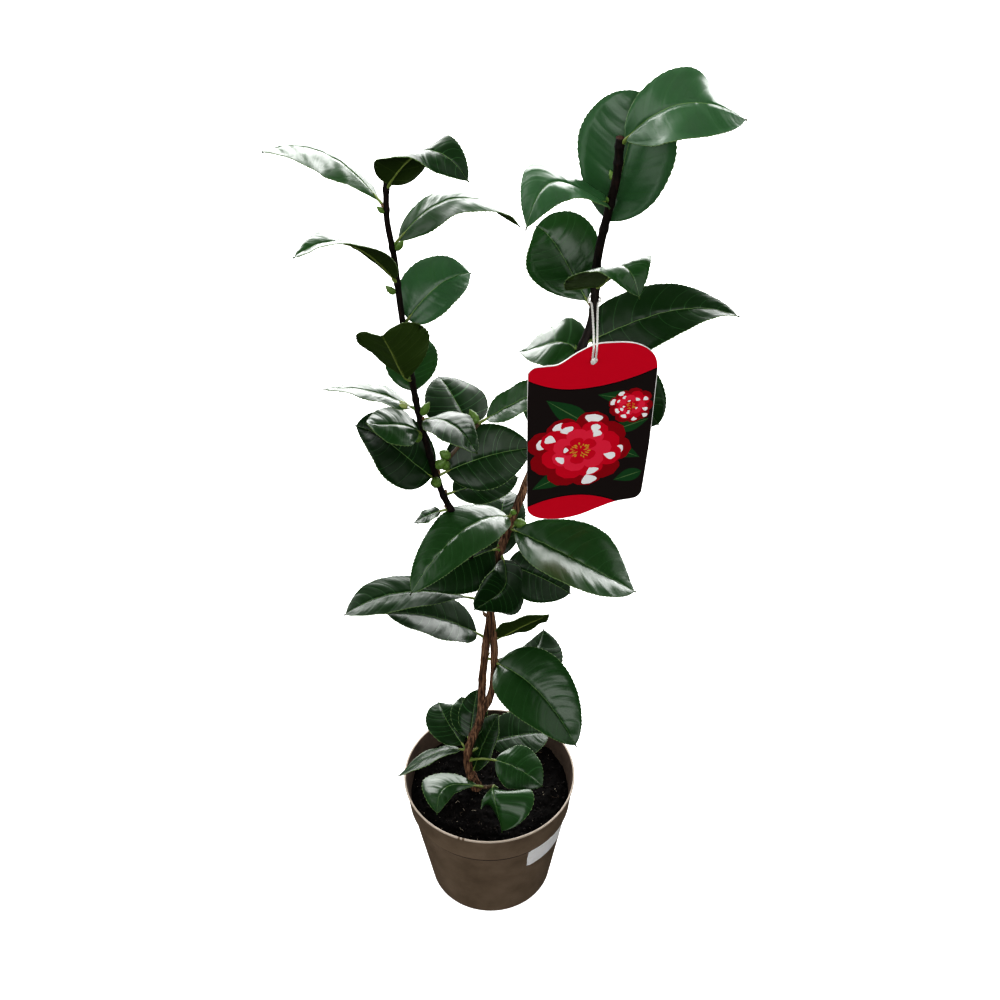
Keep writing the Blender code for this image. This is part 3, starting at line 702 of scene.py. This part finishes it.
def make_limbs(runs, stalks):
    """The stem and the two boughs, each a piece of its own, and the side twigs with the stalks."""
    fibres = [(0.30, "1c120c"), (0.44, "463124"), (0.56, "7a5a44"), (0.68, "9c7d62"), (0.80, "2c1d15")]
    skin = [(0.35, "080404"), (0.55, "150b09"), (0.70, "2a1914")]
    # long pale and dark strands up the old stem
    old_wood = patterned("bark, fibrous red brown", fibres, 2.4, 0.80, (1.6, 1.6, 0.10), 0.6, gleam=0.2)
    # a near black shoot with a faint purple brown mottle
    young_wood = patterned("bark of young shoot, purple brown", skin, 2.4, 0.60, (1.2, 1.2, 0.30), 0.2,
                           gleam=0.25)
    # the raw end of the stub
    snapped = patterned("snapped wood, reddish", [(0.3, "24110b"), (0.6, "45261a")], 1.0, 0.7)
    finishes = [old_wood, young_wood, snapped]
    nodes = {}
    for run in runs:
        nodes.setdefault(run.limb_name, []).append(run.start.z)
    rng = random.Random(SEED + 2)
    for limb, marks in nodes.items():                  # bare nodes between the leaves, as on any shoot
        foot, tip = LIMBS[limb][0][0][2], LIMBS[limb][0][-1][2]
        height = foot + 30
        while height < tip - 8:
            if all(abs(height * MM - mark) > LEAF_NODE_GAP * MM for mark in marks):
                marks.append(height * MM)
            height += rng.uniform(*BARE_NODE_GAPS)
    make_limb("trunk_bark", "trunk", nodes["trunk"], finishes, old_below=420, sides=30, flare=2.0,
              stands_for=("trunk",))
    make_limb("left_bough_bark", "left", nodes["left"], finishes, old_below=330, sides=22,
              stands_for=("left_bough",))
    make_limb("right_bough_bark", "right", nodes["right"], finishes, old_below=470, sides=24, stub=True,
              stands_for=("right_bough",))
    for limb in ("twig", "sucker"):
        course, foot_radius, tip_radius = LIMBS[limb]
        points = through(in_metres(course), 1.5 * MM)
        last = len(points) - 1
        radii = [between(foot_radius, tip_radius, k / last) * MM for k in range(last + 1)]
        relief = bark_relief(points, radii, nodes.get(limb, []), 3.3, lambda height: 0.2)
        sweep(stalks, points, radii, 14, relief, 1)
    stalk_finish = finish_named("leaf stalk, green", "6f7f3c", 0.45)
    add_piece("twigs_and_stalks", stalks, [stalk_finish, finish_named("twig, brown green", "4a3a26", 0.55)])


# ---- pot and compost

RIM_RADIUS = 75.0
POT_HEIGHT = 128.0
BASE_RADIUS = 54.5
WALL = 1.6                   # thickness
LIP_HEIGHT = 1.8
COLLAR_HEIGHT = 30.0
COLLAR_FOOT_RADIUS = 71.2
COLLAR_STEP = 1.4            # how far the collar stands out over the wall
FOOT_ROUND = 2.2
FAINT_RING = 60.0            # height of a moulding line on the wall
SOIL_TOP = 110.0
LEDGE = POT_HEIGHT - COLLAR_HEIGHT
CREASE = 2.9                 # the band of painted shade under the ledge
RIM_NICKS = (-109.8, -107.0)                 # compass angles of two dark nicks in the lip
LABEL_SPAN = (-61.6, -22.0)  # compass angles of the label's ends
LABEL_HEIGHTS = (71.0, 96.6)
CRUMBS = 760                 # loose bits on the compost
FIBRES = 46


def wall_radius(height):
    share = (height - FOOT_ROUND) / (LEDGE - FOOT_ROUND)
    return BASE_RADIUS + share * (COLLAR_FOOT_RADIUS - COLLAR_STEP - BASE_RADIUS)


def inner_radius(height):
    if height <= LEDGE:
        return wall_radius(height) - WALL
    foot = wall_radius(LEDGE) - WALL
    return foot + (height - LEDGE) / COLLAR_HEIGHT * (RIM_RADIUS - WALL - foot)


def arc(centre, radius, start, end, count):
    """Points of a rounded corner in the profile's plane, angles in degrees."""
    angles = [math.radians(start + (end - start) * k / count) for k in range(count + 1)]
    return [(centre[0] + radius * math.cos(a), centre[1] + radius * math.sin(a)) for a in angles]


def spin_profile(bm, profile, steps):
    """Turns a profile of (radius, height) about the upright axis."""
    verts = [bm.verts.new((r * MM, 0, z * MM)) for r, z in profile]
    edges = [bm.edges.new(two) for two in zip(verts, verts[1:])]
    bmesh.ops.spin(bm, geom=verts + edges, cent=(0, 0, 0), axis=(0, 0, 1), dvec=(0, 0, 0), angle=2 * math.pi,
                   steps=steps, use_merge=True, use_duplicate=False)
    bmesh.ops.remove_doubles(bm, verts=bm.verts, dist=1e-6)
    bmesh.ops.recalc_face_normals(bm, faces=bm.faces)


def make_pot():
    """The pot: one turned profile with its lip, deep collar, ledge and faint moulding line."""
    lip = POT_HEIGHT - LIP_HEIGHT
    inside = [(0.0, WALL), (inner_radius(WALL) - FOOT_ROUND - 4, WALL)]
    inside += arc((inner_radius(4) - 3.0, WALL + 3.0), 3.0, -90, 0, 6)
    inner_heights = (20, 40, 60, 80, 92, LEDGE - 1, LEDGE, LEDGE + 1, 104, 112, 120, 126)
    inside += [(inner_radius(z), z) for z in inner_heights]
    rim = arc((RIM_RADIUS - WALL + 0.45, POT_HEIGHT - 0.45), 0.45, 180, 90, 4)
    rim += arc((RIM_RADIUS - 0.55, POT_HEIGHT - 0.55), 0.55, 90, 0, 5)
    rim += arc((RIM_RADIUS - 0.3, lip + 0.3), 0.3, 0, -90, 3)
    collar = arc((RIM_RADIUS - 0.35, lip - 0.5), 0.45, 90, 180, 3)
    collar += [(RIM_RADIUS - 1.0 + (COLLAR_FOOT_RADIUS - RIM_RADIUS + 1.0) * k / 6,
                lip - 1.5 + (LEDGE + 1.6 - lip + 1.5) * k / 6) for k in range(1, 7)]
    collar += arc((COLLAR_FOOT_RADIUS - 0.6, LEDGE + 0.6), 0.6, 0, -90, 5)
    collar += arc((wall_radius(LEDGE) + 0.5, LEDGE - 0.5), 0.5, 90, 180, 4)
    ring_heights = [FAINT_RING + step for step in (1.2, 0.5, -0.5, -1.2)]
    wall = []
    for z in [LEDGE - CREASE, 94, 88, 80, 72, 66] + ring_heights + [54, 44, 32, 20, 10]:
        bead = 0.06 if abs(z - FAINT_RING) < 1 else 0.0
        wall.append((wall_radius(z) + bead, z))
    foot = arc((BASE_RADIUS - FOOT_ROUND, FOOT_ROUND), FOOT_ROUND, 0, -90, 7)
    foot += [(BASE_RADIUS - 7, 0.0), (BASE_RADIUS - 8.5, 1.0), (0.0, 1.0)]
    bm = bmesh.new()
    spin_profile(bm, inside + rim + collar + wall + foot, 240)
    for face in bm.faces:
        middle = face.calc_center_median() / MM
        out = math.hypot(middle.x, middle.y)
        # the rim's top gets the painted highlight, except at the two dark nicks
        if middle.z > lip + 0.2 and out > RIM_RADIUS - WALL - 0.05:
            angle = math.degrees(math.atan2(middle.y, middle.x))
            face.material_index = 0 if any(abs(angle - nick) < 0.8 for nick in RIM_NICKS) else 1
        elif middle.z > 1.5 and out < inner_radius(middle.z) + 0.6:
            face.material_index = 2
        # a band of painted shade under the ledge
        elif -CREASE < middle.z - LEDGE < 0.75:
            face.material_index = 3
    # a warm grey brown, mottled over a few centimetres, with a faint satin grain
    plastic = patterned("pot, taupe matte plastic", [(0.30, "635444"), (0.50, "716150"), (0.72, "7e6d5c")],
                        26, 0.50, depth=0.10, fine=0.5, gleam=0.3)
    # painted highlight: a pale line along the top of the rim, where the light catches it
    lip_highlight = finish_named("pot lip, painted highlight", "b5a899", 0.45)
    # darker and duller than the outside
    inner = patterned("pot inside, dull plastic", [(0.30, "3a3028"), (0.60, "4f4238")], 14, 0.65,
                      depth=0.10, gleam=0.3)
    # painted shade: a thin dark line under the ledge, where the collar's overhang shades the wall
    crease = finish_named("pot ledge, painted shade", "332921", 0.8)
    return add_piece("pot_shell", bm, [plastic, lip_highlight, inner, crease], ("pot",))


def make_sticker():
    """A blank white label stuck on the wall under the collar, with rubbed corners."""
    left, right = LABEL_SPAN
    low, high = LABEL_HEIGHTS
    columns, rows = 40, 20

    def at(i, j):
        across = i / columns
        up = j / rows
        corner = 2.0 * (1 - min(1.0, 14 * min(across, 1 - across))) * (1 if up > 0.5 else -1)
        z = low + (high - low) * up - corner * (abs(up - 0.5) > 0.45)
        angle = math.radians(left + (right - left) * across + 0.25 * math.sin(9 * up))
        pucker = 0.10 * noise.noise(Vector((across * 6, up * 5, 0)))
        radius = (wall_radius(z) + 0.30 + pucker) * MM
        return Vector((radius * math.cos(angle), radius * math.sin(angle), z * MM))

    bm = bmesh.new()
    sheet(bm, columns, rows, at)
    # the brightest spot on the pot, with a slight pucker
    paper = patterned("label, blank white paper", [(0.3, "f4f3ef"), (0.6, "ffffff")], 6, 0.6, depth=0.05)
    return add_piece("blank_label", bm, [paper])


def make_compost():
    """Dark compost with bark crumbs, a few pale flecks and fibres."""
    rng = random.Random(SEED + 3)
    rings, sides = 56, 168
    outer = inner_radius(SOIL_TOP) - 0.4

    def height_at(x, y):
        spot = Vector((x, y, 0))
        lump = 2.6 * noise.noise(spot / 17) + 1.7 * noise.noise(spot / 6.5) + 1.0 * noise.noise(spot / 2.6)
        edge = min(1.0, max(0.0, (math.hypot(x, y) - outer + 7) / 7))
        return SOIL_TOP - 1.0 + lump - 2.5 * edge

    def at(i, j):
        angle = 2 * math.pi * (i % sides) / sides
        ring = min(j, rings)
        radius = outer * (ring / rings) ** 0.85
        x, y = radius * math.cos(angle), radius * math.sin(angle)
        if j > rings:
            inward = 1.0 if j == rings + 1 else 0.0
            return Vector((x * inward * 0.97, y * inward * 0.97, SOIL_TOP - 12)) * MM
        return Vector((x, y, height_at(x, y))) * MM

    bm = bmesh.new()
    close_up(bm, sheet(bm, sides, rings + 2, at))
    for k in range(CRUMBS):
        angle, radius = rng.uniform(0, 2 * math.pi), (outer - 2) * math.sqrt(rng.random())
        x, y = radius * math.cos(angle), radius * math.sin(angle)
        pale = k % 11 == 0
        size = rng.uniform(0.25, 0.6) if pale else rng.uniform(0.5, 1.9)
        turn = Quaternion((rng.uniform(-1, 1), rng.uniform(-1, 1), rng.uniform(-1, 1)), rng.uniform(0, 3))
        sizes = (size, size * rng.uniform(0.5, 0.9), size * rng.uniform(0.35, 0.7), 1)
        shape = Matrix.Diagonal(sizes).to_3x3()
        place = Matrix.Translation(Vector((x, y, height_at(x, y) + 0.2 * size)) * MM)
        place = place @ (turn.to_matrix() @ shape * MM).to_4x4()
        crumb = bmesh.ops.create_icosphere(bm, subdivisions=1, radius=1.0)["verts"]
        for vert in crumb:
            vert.co = place @ (vert.co * rng.uniform(0.75, 1.2))
        tone = 2 if pale else rng.choice((0, 1, 1))
        for face in {face for vert in crumb for face in vert.link_faces}:
            face.material_index = tone
    for k in range(FIBRES):
        angle, radius = rng.uniform(0, 2 * math.pi), (outer - 5) * math.sqrt(rng.random())
        start = towards(angle) * radius
        bearing = rng.uniform(0, 2 * math.pi)
        length = rng.uniform(1.5, 5)
        points = []
        for n in range(5):
            bend = bearing + 0.5 * (n / 4) * rng.uniform(-1, 1)
            spot = start + towards(bend) * (length * n / 4)
            if spot.length > outer - 1:
                break
            points.append(Vector((spot.x, spot.y, height_at(spot.x, spot.y) + 0.5 + 0.5 * math.sin(n))) * MM)
        if len(points) == 5:
            sweep(bm, points, [0.16 * MM] * 5, 4, paint=3 if k % 5 else 2)
    # moist and near black, so that the crumbs and fibres stand out
    soil = patterned("compost, near black", [(0.35, "030202"), (0.60, "0b0705"), (0.75, "150d09")],
                     3.0, 0.95, depth=0.6, gleam=0.2)
    finishes = [soil, finish_named("bark crumb, dark", "130c08", 0.9),
                finish_named("fleck, pale", "b3a894", 0.85), finish_named("fibre, straw", "4a3b2b", 0.85)]
    return add_piece("compost_surface", bm, finishes, ("compost",))


# ---- tag

TAG_CENTRE = Vector((74.1, -10.0, 518.8))
TAG_YAW = math.radians(6)
TAG_LEAN = math.radians(7)
TAG_THICKNESS = 0.8
# The outline's corners, with the length of their handles where the curve turns sharply.
TAG_OUTLINE = [
    (-43.4, 46, 2.6), (-39.2, 52.4, 2.2), (-31, 53.3, 0), (-22.5, 54.2, 0), (-10, 63.4, 0),
    (2, 69.8, 0), (13, 70.6, 0), (26, 69.4, 0), (35, 65.6, 0), (41.5, 59.6, 0), (45.2, 52, 0),
    (46.6, 40, 4), (46.4, -22, 4), (44.3, -76, 2.6), (39.8, -83, 2.6), (25, -85.4, 0), (12.5, -90.5, 0),
    (-2.3, -97.2, 0), (-17.5, -99.8, 0), (-31.2, -97.6, 0), (-38.1, -93, 2.6), (-41.2, -85.5, 2.6)]
TAG_HOLE = (1.4, 57)
TAG_BORDER = 0.55            # bare card round the print
BOARD, GROUND, RED, DEEP_RED, SCARLET, WHITE, SHADE, LEAF, LEAF_RIB, GOLD = range(10)
INK = 0.07                   # the step between printed layers


def tag_place():
    """Takes the tag's own plane to where it hangs, turned and with its top edge forward."""
    across = Vector((math.cos(TAG_YAW), math.sin(TAG_YAW), 0.0))
    front = Vector((math.sin(TAG_YAW), -math.cos(TAG_YAW), 0.0))
    up = UP * math.cos(TAG_LEAN) + front * math.sin(TAG_LEAN)
    turn = Matrix((across, up, across.cross(up))).transposed().to_4x4()
    return Matrix.Translation(TAG_CENTRE * MM) @ turn


def tag_edge(steps=8):
    """The tag's wavy outline as a closed run of points: a cubic between each pair of corners."""
    out = []
    count = len(TAG_OUTLINE)
    corners = [Vector((x, y)) for x, y, _ in TAG_OUTLINE]
    for k in range(count):
        here, there = corners[k], corners[(k + 1) % count]
        along = (there - corners[k - 1]).normalized()
        along_there = (corners[(k + 2) % count] - here).normalized()
        reach = (there - here).length / 3
        first = here + along * (TAG_OUTLINE[k][2] or reach)
        second = there - along_there * (TAG_OUTLINE[(k + 1) % count][2] or reach)
        for n in range(steps):
            t = n / steps
            out.append(here * (1 - t) ** 3 + first * (3 * t * (1 - t) ** 2)
                       + second * (3 * t * t * (1 - t)) + there * t ** 3)
    return out


def edge_span(edge, x):
    """The lowest and highest point of the outline at x."""
    hits = []
    for a, b in zip(edge, edge[1:] + edge[:1]):
        if (a.x - x) * (b.x - x) <= 0 and a.x != b.x:
            hits.append(a.y + (b.y - a.y) * (x - a.x) / (b.x - a.x))
    return (min(hits), max(hits)) if hits else (0.0, 0.0)


def make_tag():
    """A card with a plain white back and, in thin layers on its front, two red and white blooms."""
    place = tag_place()
    edge = tag_edge()
    bm = bmesh.new()
    half = 0.5 * TAG_THICKNESS
    verts = [bm.verts.new((point.x, point.y, -half)) for point in edge]
    board = bm.faces.new(verts)
    raised = bmesh.ops.extrude_face_region(bm, geom=[board])["geom"]
    front = [part for part in raised if isinstance(part, bmesh.types.BMVert)]
    bmesh.ops.translate(bm, vec=(0, 0, TAG_THICKNESS), verts=front)
    bmesh.ops.recalc_face_normals(bm, faces=bm.faces)

    def level(layer):
        return half + 0.04 + INK * layer

    def panel(low, high, layer, tone, start, end, columns=96):
        """A printed area between two curves, kept inside the border."""
        spans = []
        for i in range(columns + 1):
            x = start + (end - start) * i / columns
            floor, roof = edge_span(edge, x)
            floor, roof = floor + TAG_BORDER, roof - TAG_BORDER
            bottom = min(max(low(x), floor), roof)
            spans.append((x, bottom, max(bottom, min(high(x), roof))))
        sheet(bm, columns, 1, lambda i, j: Vector((spans[i][0], spans[i][1 + j], level(layer))),
              lambda i, j: tone)

    left = min(point.x for point in edge) + TAG_BORDER
    right = max(point.x for point in edge) - TAG_BORDER
    far = 200

    def band(x):
        """The lower edge of the red band at the tag's top."""
        return 30.8 + 0.0098 * (x + 10) ** 2 * (1 if x < -10 else 0.48)

    def lens(x):
        """The upper edge of the red field at the tag's foot."""
        return -74.8 - 0.0080 * (x + 7) ** 2 * (1 if x < -7 else 1.2)

    for low, high, layer, tone in (
            (lambda x: -far, lambda x: far, 0, GROUND), (lambda x: band(x) - 1.1, lambda x: far, 1, SHADE),
            (band, lambda x: far, 2, RED), (lambda x: -far, lambda x: lens(x) + 0.9, 1, SHADE),
            (lambda x: -far, lens, 2, RED)):
        panel(low, high, layer, tone, left, right)

    def flake(centre, angle, length, width, layer, tone, blunt=0.5, rows=14, columns=6, notch=0.0):
        """A petal, leaf or blotch lying on the tag, with its foot at the centre."""
        along = Vector((math.cos(angle), math.sin(angle)))
        aside = Vector((-along.y, along.x))

        def at(i, j):
            s = j / rows
            q = 2 * i / columns - 1
            wide = 0.5 * width * max(0.0, math.sin(math.pi * s ** (1 + blunt))) ** (0.95 - 0.55 * blunt)
            reach = length * (s - notch * max(0.0, s - 0.8) * 5 * (1 - abs(q)) ** 2)
            spot = centre + along * reach + aside * (q * wide)
            return Vector((spot.x, spot.y, level(layer) + 0.03 * (1 - q * q)))

        sheet(bm, columns, rows, at, lambda i, j: tone)

    def bloom(centre, size, rng, layer):
        """A half open flower seen from the front: rings of red petals splashed with white."""
        rings = ((1.00, 9, DEEP_RED, 0.62), (0.80, 8, RED, 0.52), (0.58, 7, SCARLET, 0.40),
                 (0.36, 5, RED, 0.26))                 # share of the size, petals, ink, breadth
        for n, (share, count, tone, broad) in enumerate(rings):
            for k in range(count):
                angle = 2 * math.pi * (k + 0.5 * n) / count + rng.uniform(-0.12, 0.12)
                out = Vector((math.cos(angle), math.sin(angle)))
                reach = size * share * rng.uniform(0.92, 1.05)
                wide = size * broad
                flake(centre, angle, reach, wide, layer + 2 * n + (k % 2), tone, 0.95, notch=0.10)
                if rng.random() < 0.55:
                    spot = centre + out * reach * rng.uniform(0.55, 0.7)
                    flake(spot, angle + rng.uniform(-0.2, 0.2), reach * rng.uniform(0.24, 0.34),
                          wide * rng.uniform(0.35, 0.6), layer + 2 * n + 2, WHITE, 0.8, 8, 4, notch=0.15)
        for k in range(34):
            angle = rng.uniform(0, 2 * math.pi)
            spot = centre + Vector((math.cos(angle), math.sin(angle))) * size * 0.15 * math.sqrt(rng.random())
            flake(spot, angle, size * 0.075, size * 0.03, layer + 9, GOLD, 1.0, 4, 2)

    rng = random.Random(SEED + 4)
    for x, y, angle, length, width in ((-30, 22, -40, 40, 17), (22, -62, 20, 22, 13), (-38, -66, 30, 34, 16),
                                       (40, -40, 150, 30, 14), (6, 24, -15, 36, 15), (44, -2, 200, 26, 13)):
        centre = Vector((x, y))
        turn = math.radians(angle)
        flake(centre, turn, length, width, 1, LEAF, 0.35)
        flake(centre, turn, length * 0.96, 0.9, 2, LEAF_RIB, 0.3)
    bloom(Vector((-4, -28)), 38, rng, 3)
    bloom(Vector((30, 12)), 17, rng, 3)
    flake(Vector(TAG_HOLE) - Vector((2.2, 0)), 0, 4.4, 4.4, 3, SHADE, 1.0, 10, 6)      # the punched hole, drawn as a dark disc of painted shade on the card's front; the card isn't cut
    bmesh.ops.scale(bm, vec=(MM, MM, MM), verts=bm.verts)
    bmesh.ops.transform(bm, matrix=place, verts=bm.verts)
    # saturated reds and clean whites on near black: the brightest thing on the plant
    inks = (
        ("tag, white card", "fbfaf7"), ("print, dark grey brown", "231c1b"),
        ("print, red", "d6082a"), ("print, deep red", "960818"),
        ("print, scarlet", "ee2c4a"), ("print, white", "ffffff"),
        ("print, shadow line", "120e0f"), ("print, leaf green", "1f4a26"),
        ("print, leaf rib green", "5d7a4c"), ("print, stamen gold", "dfa53a"))
    finishes = [finish_named(name, colour, 0.5, Specular_IOR_Level=0.15) for name, colour in inks]
    made = add_piece("picture_tag", bm, finishes, ("tag",))
    for polygon in made.data.polygons:
        polygon.use_smooth = False
    return made


STRING_HEIGHT = 599          # where the loop lies on the right bough
STRING_RADIUS = 0.7
STRING_STEP = 0.55           # from one ring of the string's mesh to the next
PLY_LENGTH = 5.2             # one turn of the twisted string
KNOT_POINTS = 40             # along the knot's winding


def make_string():
    """Twisted white string: a loop behind the right bough and two strands to the knot at the tag's hole."""
    axis, radius, _ = limb_at("right", STRING_HEIGHT * MM)
    string_radius = STRING_RADIUS * MM
    place = tag_place()
    hole = place @ (Vector((TAG_HOLE[0], TAG_HOLE[1], TAG_THICKNESS + 1.0)) * MM)
    loop = radius + string_radius + 0.6 * MM
    spread = Vector((1.1, 0, 0)) * MM
    over = place.to_3x3() @ Vector((0, 17, 1.0)) * MM
    ring = []
    for k in range(9):
        angle = math.radians(-60 + 300 * k / 8)
        x, y = math.cos(angle), math.sin(angle)
        ring.append(axis + Vector((loop * x, loop * y, 1.5 * MM * y)))
    route = [hole + spread, hole + spread + over] + ring + [hole - spread + over, hole - spread]
    points = through(route, STRING_STEP * MM)

    def ply(angle, j):
        return 0.16 * string_radius * math.cos(2 * (angle - 2 * math.pi * j * STRING_STEP / PLY_LENGTH))

    bm = bmesh.new()
    sweep(bm, points, [string_radius] * len(points), 10, ply)
    knot = []
    for k in range(KNOT_POINTS):
        turn = 2 * math.pi * k / 13
        wind = 0.45 + 0.55 * math.cos(0.37 * k) ** 2
        x, y = wind * math.cos(turn), wind * math.sin(turn)
        spot = Vector((1.8 * x, 2.4 * y, 0.6 + 0.8 * math.sin(k / 2.3)))
        knot.append(hole + place.to_3x3() @ spot * MM)
    winding = through(knot, 0.8 * MM)
    sweep(bm, winding, [0.95 * MM] * len(winding), 8)
    # soft white against the dark bough
    cotton = patterned("string, white cotton", [(0.3, "d9d7d0"), (0.6, "f4f3ee")], 1.2, 0.85, depth=0.1)
    return add_piece("tag_loop", bm, [cotton], ("tag_string",))


# ---- stage

LENS_SHARE = 1.455           # focal length over the sensor's width
SENSOR = 36.0
CAMERA_SPOT = Vector((0.012, -0.835, 1.127))
CAMERA_PITCH = math.radians(39.5)
CAMERA_ROLL = math.radians(-0.63)
FLOOR_SIDE = 6.0             # half the floor's side, metres
# Lit walls round the plant: name, place, the point it faces, size in metres and power in watts.
WALLS = (
    ("lit wall behind, low", (0, 2.6, 0.55), (0, 0, 0.6), (5.0, 0.55), 95),
    ("lit wall behind, high", (0, 2.6, 1.55), (0, 0, 0.6), (5.0, 0.80), 120),
    ("lit wall left", (-2.6, 0, 1.3), (0, 0, 0.6), (4.0, 2.0), 36),
    ("lit wall right", (2.6, 0, 1.3), (0, 0, 0.6), (4.0, 2.0), 20),
    ("lit wall in front", (0, -3.2, 2.0), (0, 0, 0.5), (5.0, 1.9), 88))
# Lamps overhead, which leave no glare on the leaves.
ROOFS = (
    ("pale roof", (-0.3, 0, 3.2), (0, 0, 0.4), (4.0, 4.0), 24),
    ("soft lamp over the crown", (0.0, 0.1, 1.5), (0, 0, 0.4), (0.8, 0.8), 7))


def make_camera():
    """The camera looks down on the plant from the front."""
    data = bpy.data.cameras.new("camera")
    data.sensor_width = SENSOR
    data.lens = SENSOR * LENS_SHARE
    data.clip_start = 0.02
    data.clip_end = 60.0
    camera = bpy.data.objects.new("camera", data)
    forward = Vector((0, math.cos(CAMERA_PITCH), -math.sin(CAMERA_PITCH)))
    level_up = Vector((0, math.sin(CAMERA_PITCH), math.cos(CAMERA_PITCH)))
    right = Vector((1, 0, 0)) * math.cos(CAMERA_ROLL) + level_up * math.sin(CAMERA_ROLL)
    up = level_up * math.cos(CAMERA_ROLL) - Vector((1, 0, 0)) * math.sin(CAMERA_ROLL)
    turn = Matrix((right, up, -forward)).transposed().to_4x4()
    camera.matrix_world = Matrix.Translation(CAMERA_SPOT) @ turn
    bpy.context.scene.collection.objects.link(camera)
    bpy.context.scene.camera = camera


def add_light(name, spot, aim, size, power):
    data = bpy.data.lights.new(name, "AREA")
    data.shape = "RECTANGLE"
    data.size, data.size_y = size
    data.energy = power
    light = bpy.data.objects.new(name, data)
    light.location = spot
    light.rotation_mode = "QUATERNION"
    light.rotation_quaternion = (Vector(aim) - Vector(spot)).to_track_quat("-Z", "Y")
    light.visible_camera = False
    bpy.context.scene.collection.objects.link(light)
    return light


def make_stage():
    """A pale floor, the lit walls and the lamps overhead."""
    bm = bmesh.new()
    bmesh.ops.create_grid(bm, x_segments=12, y_segments=12, size=FLOOR_SIDE)
    mesh = bpy.data.meshes.new("floor")
    bm.to_mesh(mesh)
    bm.free()
    mesh.materials.append(finish_named("floor, white", "f2f2f2", 0.9, Specular_IOR_Level=0.0,
                                       Emission_Color=linear("ffffff"), Emission_Strength=0.80))
    floor = bpy.data.objects.new("floor", mesh)
    floor.location = (0, 0, -0.0005)
    bpy.context.scene.collection.objects.link(floor)
    floor.visible_diffuse = False                      # a white floor would light the leaves from below
    floor.visible_glossy = False
    world = bpy.data.worlds.new("studio")
    world.use_nodes = True
    sky = world.node_tree.nodes["Background"]
    sky.inputs["Color"].default_value = linear("ffffff")
    sky.inputs["Strength"].default_value = 0.02
    bpy.context.scene.world = world
    for wall in WALLS:
        add_light(*wall)
    for roof in ROOFS:
        add_light(*roof).visible_glossy = False
    view = bpy.context.scene.view_settings
    view.view_transform = "Standard"
    view.look = "Medium High Contrast"


def build():
    finishes = leaf_finishes()
    stalks, runs = grow_foliage(finishes)
    make_buds(runs)
    make_limbs(runs, stalks)
    make_pot()
    make_sticker()
    make_compost()
    make_tag()
    make_string()
    make_camera()
    make_stage()


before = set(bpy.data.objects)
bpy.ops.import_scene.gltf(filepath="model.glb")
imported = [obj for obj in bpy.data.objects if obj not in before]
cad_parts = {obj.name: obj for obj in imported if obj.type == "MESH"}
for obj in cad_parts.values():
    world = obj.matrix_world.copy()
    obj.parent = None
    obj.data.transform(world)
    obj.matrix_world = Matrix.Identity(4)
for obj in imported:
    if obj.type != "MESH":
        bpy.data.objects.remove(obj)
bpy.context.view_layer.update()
build()
